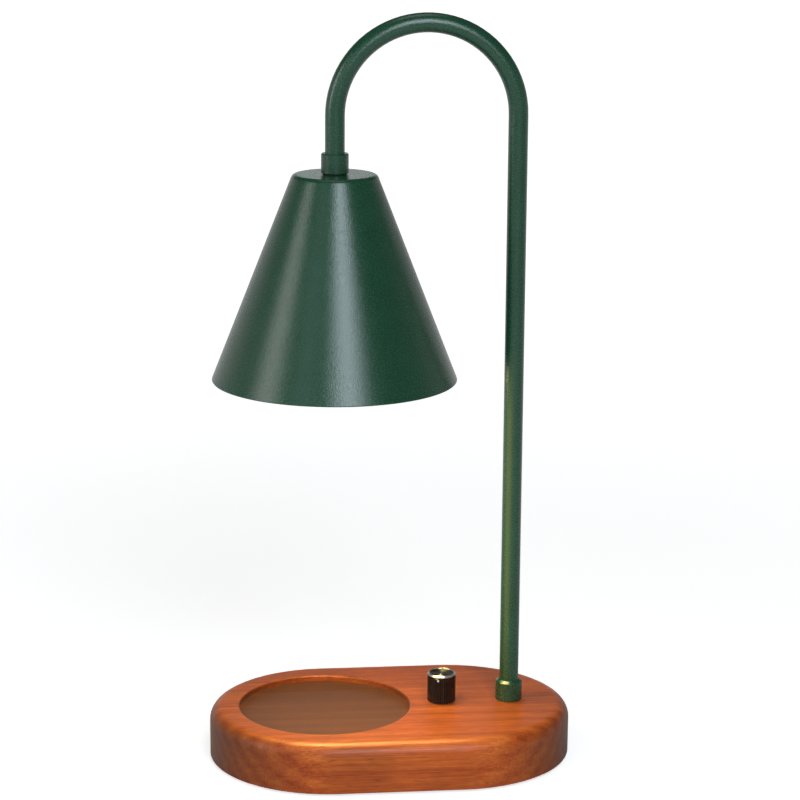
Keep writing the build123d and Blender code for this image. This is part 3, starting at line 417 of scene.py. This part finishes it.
sinter_mm = 0.4
ferrite, place = new_material("sintered_ferrite")
sinter = add(ferrite, "TexVoronoi", {"Vector": place, "Scale": scale_of(sinter_mm)})
sinter_tone = add(ferrite, "ValToRGB", {"Fac": sinter}, stops=[(0, "#2a2a2c"), (0.8, "#414144")])
sinter_bump = add(ferrite, "Bump", {"Height": sinter, "Strength": 0.4, "Distance": 0.00003})
fired = add(ferrite, "BsdfPrincipled", {
    "Base Color": sinter_tone, "Roughness": 0.6, "IOR": 1.9, "Normal": sinter_bump})
dress(ferrite, fired, "choke_core")

choke_wire_mm = 0.6
copper, place = new_material("enamelled_copper_wire")
turns = add(copper, "TexWave", {
    "Vector": place, "Scale": wave_scale * scale_of(choke_wire_mm), "Distortion": 0.3},
    wave_type="BANDS", bands_direction="Z")
# The troughs between turns are coloured darker than their crests: painted shade between the turns.
turn_shaded_tone = add(copper, "ValToRGB", {"Fac": turns}, stops=[(0, "#7a3312"), (1, "#c8702f")])
turn_bump = add(copper, "Bump", {"Height": turns, "Strength": 0.9, "Distance": 0.0002})
wound = add(copper, "BsdfPrincipled", {
    "Base Color": turn_shaded_tone, "Metallic": 1, "Roughness": 0.28, "Normal": turn_bump,
    "Coat Weight": 0.6, "Coat Roughness": 0.12})
dress(copper, wound, "choke_winding")


# ---- resistors -----------------------------------------------------------------------------
# Small ceramic rods side by side, dipped in tan lacquer, with four printed colour bands round
# them. Each band takes about a tenth of the rod's length.

dip_mm = 1.11
rod_low, rod_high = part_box("board_resistors")
lacquer, place = new_material("tan_lacquered_resistor")
where = add(lacquer, "SeparateXYZ", {"Vector": place})
share = add(lacquer, "MapRange", {
    "Value": where.outputs["X"], "From Min": rod_low.x, "From Max": rod_high.x})
bands = add(lacquer, "ValToRGB", {"Fac": share}, stops=[
    (0, "#cba36c"), (0.2, "#7a3f1c"), (0.31, "#cba36c"), (0.4, "#1a1a1a"), (0.51, "#cba36c"),
    (0.6, "#c2481f"), (0.71, "#cba36c"), (0.82, "#b58a2c"), (0.93, "#cba36c")])
bands.color_ramp.interpolation = "CONSTANT"
dip = add(lacquer, "TexNoise", {"Vector": place, "Scale": scale_of(dip_mm), "Detail": 2})
dip_bump = add(lacquer, "Bump", {"Height": dip, "Strength": 0.3, "Distance": 0.00005})
dipped = add(lacquer, "BsdfPrincipled", {
    "Base Color": bands, "Roughness": 0.3, "IOR": 1.5, "Normal": dip_bump})
dress(lacquer, dipped, "board_resistors")


# ---- wires in the arm ----------------------------------------------------------------------
# Two stranded wires in white silicone rubber run from the terminals through the arm to the
# holder. Silicone stays soft and satin, and picks up a little dust.

dust_mm = 5.56
strand_mm = 0.833
silicone, place = new_material("white_silicone_insulation")
dust = add(silicone, "TexNoise", {"Vector": place, "Scale": scale_of(dust_mm), "Detail": 4})
dust_tone = add(silicone, "ValToRGB", {"Fac": dust}, stops=[(0.3, "#d5d2c8"), (0.7, "#e9e7e0")])
strands = add(silicone, "TexNoise", {"Vector": place, "Scale": scale_of(strand_mm), "Detail": 1})
strand_bump = add(silicone, "Bump", {"Height": strands, "Strength": 0.3, "Distance": 0.00003})
insulated = add(silicone, "BsdfPrincipled", {
    "Base Color": dust_tone, "Roughness": 0.5, "IOR": 1.41, "Normal": strand_bump,
    "Subsurface Weight": 0.1, "Subsurface Scale": 0.001})
dress(silicone, insulated, "lamp_wires")


# ---- lamp holder ---------------------------------------------------------------------------
# Two halves pressed from steatite and fired unglazed: off-white, chalky, with a fine mould
# grain. Two brass plates inside carry the current to the lamp's pins.

chalk_mm = 3.85
mould_mm = 0.4
steatite, place = new_material("unglazed_steatite")
chalk = add(steatite, "TexNoise", {"Vector": place, "Scale": scale_of(chalk_mm), "Detail": 5})
chalk_tone = add(steatite, "ValToRGB", {"Fac": chalk}, stops=[(0.3, "#cfc8b8"), (0.7, "#e2ddd0")])
mould = add(steatite, "TexNoise", {"Vector": place, "Scale": scale_of(mould_mm), "Detail": 3})
mould_bump = add(steatite, "Bump", {"Height": mould, "Strength": 0.5, "Distance": 0.00004})
pressed_steatite = add(steatite, "BsdfPrincipled", {
    "Base Color": chalk_tone, "Roughness": 0.7, "IOR": 1.6, "Normal": mould_bump})
dress(steatite, pressed_steatite, "holder_body", "holder_cap")

tarnish_mm = 1.43
brass, place = new_material("stamped_brass")
tarnish = add(brass, "TexNoise", {"Vector": place, "Scale": scale_of(tarnish_mm), "Detail": 4})
brass_tone = add(brass, "ValToRGB", {"Fac": tarnish}, stops=[(0.3, "#c39a4c"), (0.7, "#dcb667")])
brass_sheen = add(brass, "MapRange", {
    "Value": tarnish, "From Min": 0.3, "From Max": 0.7, "To Min": 0.36, "To Max": 0.2})
stamped = add(brass, "BsdfPrincipled", {
    "Base Color": brass_tone, "Metallic": 1, "Roughness": brass_sheen})
dress(brass, stamped, "holder_contacts")


# ---- reflector lamp ------------------------------------------------------------------------
# A halogen lamp with a twist-lock base: white glazed ceramic, a pressed glass bowl with an
# aluminium mirror inside, a clear front disc, and a quartz capsule in the middle. It is on.

glaze_mm = 6.67
ceramic, place = new_material("white_glazed_ceramic")
glaze = add(ceramic, "TexNoise", {"Vector": place, "Scale": scale_of(glaze_mm), "Detail": 3})
glaze_tone = add(ceramic, "ValToRGB", {"Fac": glaze}, stops=[(0.3, "#dedbd2"), (0.7, "#ebe9e2")])
glaze_bump = add(ceramic, "Bump", {"Height": glaze, "Strength": 0.3, "Distance": 0.0001})
glazed = add(ceramic, "BsdfPrincipled", {
    "Base Color": glaze_tone, "Roughness": 0.22, "IOR": 1.52, "Normal": glaze_bump})
dress(ceramic, glazed, "lamp_base")

# The bowl is pressed with small lens facets, about 2.5 mm across, which spread the beam.
facet_mm = 2.5
mirror, place = new_material("aluminised_pressed_glass")
facets = add(mirror, "TexVoronoi", {
    "Vector": place, "Scale": scale_of(facet_mm), "Randomness": 0.6})
# Each facet is coloured a little darker towards its edges: painted shade between the facets.
facet_shaded_tone = add(mirror, "ValToRGB", {"Fac": facets}, stops=[(0, "#e9e5dc"), (0.8, "#d8d3c8")])
facet_bump = add(mirror, "Bump", {"Height": facets, "Strength": 0.5, "Distance": 0.0004})

# The mirror's reflection of the filament is painted in as a warm glow in every facet, brightest
# near the capsule: a painted reflection.
capsule_reach = 0.004
bowl_low, bowl_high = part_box("lamp_reflector")
bowl_middle = (bowl_low + bowl_high) / 2
from_lamp_axis = add(mirror, "Mapping", {
    "Vector": place, "Location": (-bowl_middle.x, -bowl_middle.y, 0), "Scale": (1, 1, 0)})
off_axis = add(mirror, "VectorMath", {0: from_lamp_axis}, operation="LENGTH")
nearness = add(mirror, "MapRange", {
    "Value": off_axis.outputs["Value"], "From Min": capsule_reach,
    "From Max": (bowl_high.x - bowl_low.x) / 2, "To Min": 1, "To Max": 0.35})
facet_reflection_share = add(mirror, "MapRange", {
    "Value": facets.outputs["Distance"],
    "From Min": 0.1, "From Max": 0.7, "To Min": 1, "To Max": 0.3})
reflection_in_facets = add(mirror, "Math", {0: nearness, 1: facet_reflection_share}, operation="MULTIPLY")
painted_filament_reflection = add(mirror, "MixRGB", {
    "Fac": reflection_in_facets, "Color1": srgb("#3a2410"), "Color2": srgb("#fff0cc")})
coated = add(mirror, "BsdfPrincipled", {
    "Base Color": facet_shaded_tone, "Metallic": 1, "Roughness": 0.14, "Normal": facet_bump,
    "Emission Color": painted_filament_reflection, "Emission Strength": 1})
dress(mirror, coated, "lamp_reflector")

drawn_mm = 8.33
quartz, place = new_material("clear_lamp_glass")
drawn = add(quartz, "TexNoise", {"Vector": place, "Scale": scale_of(drawn_mm), "Detail": 2})
drawn_bump = add(quartz, "Bump", {"Height": drawn, "Strength": 0.15, "Distance": 0.0002})
drawn_sheen = add(quartz, "MapRange", {
    "Value": drawn, "From Min": 0.3, "From Max": 0.7, "To Min": 0.01, "To Max": 0.05})
clear = add(quartz, "BsdfPrincipled", {
    "Base Color": srgb("#f8faf8"), "Roughness": drawn_sheen, "IOR": 1.47,
    "Transmission Weight": 1, "Normal": drawn_bump})
dress(quartz, clear, "lamp_front_glass", "lamp_capsule")

# The filament is one tungsten wire wound into a coil across the capsule. It hangs on its two
# straight ends, which are clamped in the seat. The wire is 0.1 mm thick; it is drawn at 0.22 mm.
coil_wire = 0.00022
coil_radius = 0.00062
coil_length = 0.0034
coil_turns = 9
turn_points = 16
coil_low, coil_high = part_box("lamp_filament")
coil_middle = (coil_low + coil_high) / 2
coil_z = coil_low.z + coil_radius + coil_wire / 2
line = [Vector((coil_middle.x - coil_length / 2, coil_middle.y, coil_high.z))]
for index in range(coil_turns * turn_points + 1):
    turn = 2 * math.pi * index / turn_points
    along = index / (coil_turns * turn_points) - 0.5
    line.append(Vector((
        coil_middle.x + along * coil_length,
        coil_middle.y + coil_radius * math.sin(turn),
        coil_z + coil_radius * math.cos(turn))))
line.append(Vector((coil_middle.x + coil_length / 2, coil_middle.y, coil_high.z)))
coil_curve = bpy.data.curves.new("filament_line", "CURVE")
coil_curve.dimensions = "3D"
coil_curve.bevel_depth = coil_wire / 2
coil_curve.bevel_resolution = 2
coil_curve.use_fill_caps = True
run = coil_curve.splines.new("POLY")
run.points.add(len(line) - 1)
for point, spot in zip(run.points, line):
    point.co = (*spot, 1)
coil_shape = bpy.data.objects.new("filament_shape", coil_curve)
filament_mesh = bpy.data.meshes.new_from_object(coil_shape)
bpy.data.objects.remove(coil_shape)
filament_mesh.name = "filament_coil"
filament_mesh.shade_smooth()
filament = bpy.data.objects.new("filament_coil", filament_mesh)
bpy.context.scene.collection.objects.link(filament)

heat_mm = 1.11
tungsten, place = new_material("glowing_tungsten")
heat = add(tungsten, "TexNoise", {"Vector": place, "Scale": scale_of(heat_mm), "Detail": 2})
heat_tone = add(tungsten, "ValToRGB", {"Fac": heat}, stops=[(0.3, "#ff9d3c"), (0.7, "#ffc56e")])
hot = add(tungsten, "BsdfPrincipled", {
    "Base Color": srgb("#8a8884"), "Metallic": 1, "Roughness": 0.4,
    "Emission Color": heat_tone, "Emission Strength": 6})
dress(tungsten, hot)
filament_mesh.materials.clear()
filament_mesh.materials.append(tungsten)
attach(filament, "reflector_lamp")
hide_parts("lamp_filament")


# ---- floor, lights and camera --------------------------------------------------------------
# A white studio sweep, a bright softbox in front, two weaker ones on the left and one overhead,
# and the warm light of the lamp itself. They stand round the lamp and belong to the studio.

floor_radius = 9.0
floor_points = 96
floor_mesh = bpy.data.meshes.new("studio_floor")
floor_turns = [2 * math.pi * index / floor_points for index in range(floor_points)]
floor_mesh.from_pydata(
    [(floor_radius * math.cos(turn), floor_radius * math.sin(turn), 0) for turn in floor_turns],
    [], [list(range(floor_points))])
floor = bpy.data.objects.new("studio_floor", floor_mesh)
bpy.context.scene.collection.objects.link(floor)

# White paper. To the camera it is as bright as a lit sweep; on the object it throws only a
# little light. Near the lamp it keeps more of its shading, so that the shadow shows. In gloss
# and glass it is bright behind the lamp, where the sweep is lit, and grey in front of it.
paper, place = new_material("white_sweep_paper")
away = add(paper, "VectorMath", {0: place}, operation="LENGTH").outputs["Value"]
sweep_light = add(paper, "MapRange", {
    "Value": away, "From Min": 0.25, "From Max": 1.4, "To Min": 0.7, "To Max": 1.0},
    interpolation_type="SMOOTHSTEP")
depth = add(paper, "SeparateXYZ", {"Vector": place})
gloss_depth = add(paper, "MapRange", {
    "Value": depth.outputs["Y"], "From Min": -0.3, "From Max": 0.5, "To Min": 0.22, "To Max": 0.6})
gloss_near = add(paper, "MapRange", {
    "Value": away, "From Min": 0.12, "From Max": 0.45, "To Min": 0.1, "To Max": 1})
gloss_light = add(paper, "Math", {0: gloss_depth, 1: gloss_near}, operation="MULTIPLY")
seen = add(paper, "LightPath").outputs
in_gloss = add(paper, "Math", {
    0: seen["Is Glossy Ray"], 1: seen["Is Transmission Ray"]}, operation="MAXIMUM")
gloss_glow = add(paper, "Math", {0: in_gloss, 1: gloss_light}, operation="MULTIPLY")
sweep_glow = add(paper, "Math", {
    0: seen["Is Camera Ray"], 1: sweep_light, 2: gloss_glow}, operation="MULTIPLY_ADD")
sheet = add(paper, "BsdfDiffuse", {"Color": srgb("#dedede")})
glow = add(paper, "Emission", {"Color": srgb("#ffffff"), "Strength": sweep_glow})
dress(paper, add(paper, "AddShader", {0: sheet, 1: glow}))
floor_mesh.materials.append(paper)

# Room light: white where the camera looks past the floor, a soft grey on the object, and in
# gloss and glass a pale horizon, darker on the right, that falls off to a dim studio overhead.
studio = bpy.data.worlds.new("studio")
bpy.context.scene.world = studio
studio.use_nodes = True
studio.node_tree.nodes.clear()
seen = add(studio, "LightPath").outputs
direction = add(studio, "TexCoord").outputs["Generated"]
level = add(studio, "SeparateXYZ", {"Vector": direction}).outputs
behind = add(studio, "MapRange", {
    "Value": level["Y"], "From Min": 0.9, "From Max": 0.97, "To Min": 0, "To Max": 1})
overhead = add(studio, "MapRange", {
    "Value": level["Z"], "From Min": 0.18, "From Max": 0.32, "To Min": 0, "To Max": 1})
to_right = add(studio, "MapRange", {
    "Value": level["X"], "From Min": -0.6, "From Max": 0.6, "To Min": 0, "To Max": 1})
horizon = add(studio, "MixRGB", {
    "Fac": to_right, "Color1": srgb("#cbcbcb"), "Color2": srgb("#adadad")})
horizon = add(studio, "MixRGB", {"Fac": behind, "Color1": horizon, "Color2": srgb("#f6ffff")})
horizon = add(studio, "MixRGB", {"Fac": overhead, "Color1": horizon, "Color2": srgb("#505050")})
room = add(studio, "Background", {"Color": srgb("#565656"), "Strength": 1})
mirrored = add(studio, "Background", {"Color": horizon, "Strength": 1})
white = add(studio, "Background", {"Color": srgb("#ffffff"), "Strength": 1})
in_gloss = add(studio, "Math", {
    0: seen["Is Glossy Ray"], 1: seen["Is Transmission Ray"]}, operation="MAXIMUM")
soft = add(studio, "MixShader", {0: in_gloss, 1: room, 2: mirrored})
whole = add(studio, "MixShader", {0: seen["Is Camera Ray"], 1: soft, 2: white})
add(studio, "OutputWorld", {"Surface": whole})


def hang_light(name, kind, location, rotation, energy, colour, **settings):
    """A light in the studio that the camera doesn't see."""
    light = bpy.data.lights.new(name, kind)
    for setting, value in settings.items():
        setattr(light, setting, value)
    light.energy = energy
    light.color = srgb(colour)[:3]
    hung = bpy.data.objects.new(name, light)
    hung.location = location
    hung.rotation_euler = rotation
    hung.visible_camera = False
    bpy.context.scene.collection.objects.link(hung)
    return hung


lamp_middle = Vector((0, 0, 0.19))


def softbox(name, azimuth, elevation, distance, width, tall, radiance, colour="#ffffff"):
    """A softbox that faces the lamp. Azimuth 0 is in front, and radiance 1 is white paper."""
    turn, rise = math.radians(azimuth), math.radians(elevation)
    back = Vector((math.sin(turn) * math.cos(rise), -math.cos(turn) * math.cos(rise),
                   math.sin(rise)))
    hang_light(name, "AREA", lamp_middle + back * distance, back.to_track_quat("Z", "Y").to_euler(),
               radiance * math.pi * width * tall, colour,
               shape="RECTANGLE", size=width, size_y=tall)


softbox("front_softbox", 7, 31, 1.4, 0.52, 0.75, radiance=9.0, colour="#e7f5ff")
softbox("left_softbox", -74, 18, 1.5, 0.5, 0.8, radiance=3.9)
softbox("fill_softbox", -37, 24, 1.5, 0.35, 0.8, radiance=1.3, colour="#e7f5ff")
softbox("overhead_softbox", 180, 80, 1.4, 0.6, 0.6, radiance=1.3)

# The beam leaves the front glass of the reflector lamp, a little below it, and leans towards the
# front and the knob.
beam_drop, beam_share = 0.001, 0.8
beam_spread, beam_power = math.radians(52), 0.0225
lean_front, lean_right = math.radians(-12), math.radians(-5.5)
glass_low, glass_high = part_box("lamp_front_glass")
glass_middle = (glass_low + glass_high) / 2
hang_light("lamp_beam", "AREA", (glass_middle.x, glass_middle.y, glass_low.z - beam_drop),
           (lean_front, lean_right, 0), beam_power, "#ffe4a6",
           shape="DISK", size=beam_share * (glass_high.x - glass_low.x), spread=beam_spread)

# The lamp also spills light to all sides below its glass. It lights the inside of the shade, and
# past the rim it falls on the arm.
spill_drop, spill_radius, spill_power = 0.008, 0.016, 0.16
hang_light("lamp_spill", "POINT",
           (glass_middle.x, glass_middle.y, glass_low.z - spill_drop - spill_radius),
           (0, 0, 0), spill_power, "#fff08c", shadow_soft_size=spill_radius)

# A warm panel hangs over the base, level with the shade's rim, for gloss alone. It draws the
# yellow line along the round front edge and lights the collar's shoulder and the knob's ring.
panel_x = -0.025
panel_long, panel_wide = 0.15, 0.1
panel_spread, panel_radiance = math.radians(110), 11
panel = hang_light("warm_panel", "AREA", (panel_x, 0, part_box("lamp_shade")[0].z), (0, 0, 0),
                   panel_radiance * math.pi * panel_long * panel_wide, "#ffe78f",
                   shape="RECTANGLE", size=panel_long, size_y=panel_wide, spread=panel_spread)
panel.visible_diffuse = False

# Light that comes back sideways from a candle in the recess, over the height of its jar, and
# falls on the arm.
jar_foot, jar_tall = 0.025, 0.15
glow_x, glow_y, glow_wide = -0.01, -0.075, 0.2
glow_spread, glow_power = math.radians(100), 0.056
towards_arm = (0, -math.pi / 2, math.radians(35))
hang_light("candle_glow", "AREA", (glow_x, glow_y, jar_foot + jar_tall / 2), towards_arm,
           glow_power, "#ffe65a",
           shape="RECTANGLE", size=jar_tall, size_y=glow_wide, spread=glow_spread)

# The camera stands 1.34 m from the middle of the lamp, a little to the left of its front.
camera_distance = 1.33869
camera_aim = Vector((0.00432, 0, 0.19171))
heading, pitch, roll = math.radians(6.49), math.radians(13.35), math.radians(0.41)
focal_length_mm, sensor_width_mm = 116.93, 36
forward = Vector((math.sin(heading) * math.cos(pitch), math.cos(heading) * math.cos(pitch),
                  -math.sin(pitch)))
level_right = Vector((math.cos(heading), -math.sin(heading), 0))
level_up = level_right.cross(forward)
right = math.cos(roll) * level_right + math.sin(roll) * level_up
up = math.cos(roll) * level_up - math.sin(roll) * level_right
lens = bpy.data.cameras.new("camera")
lens.lens = focal_length_mm
lens.sensor_width = sensor_width_mm
camera = bpy.data.objects.new("camera", lens)
turned_to = Matrix((right, up, -forward)).transposed().to_4x4()
camera.matrix_world = Matrix.Translation(camera_aim - camera_distance * forward) @ turned_to
bpy.context.scene.collection.objects.link(camera)
bpy.context.scene.camera = camera
bpy.context.scene.view_settings.view_transform = "Standard"
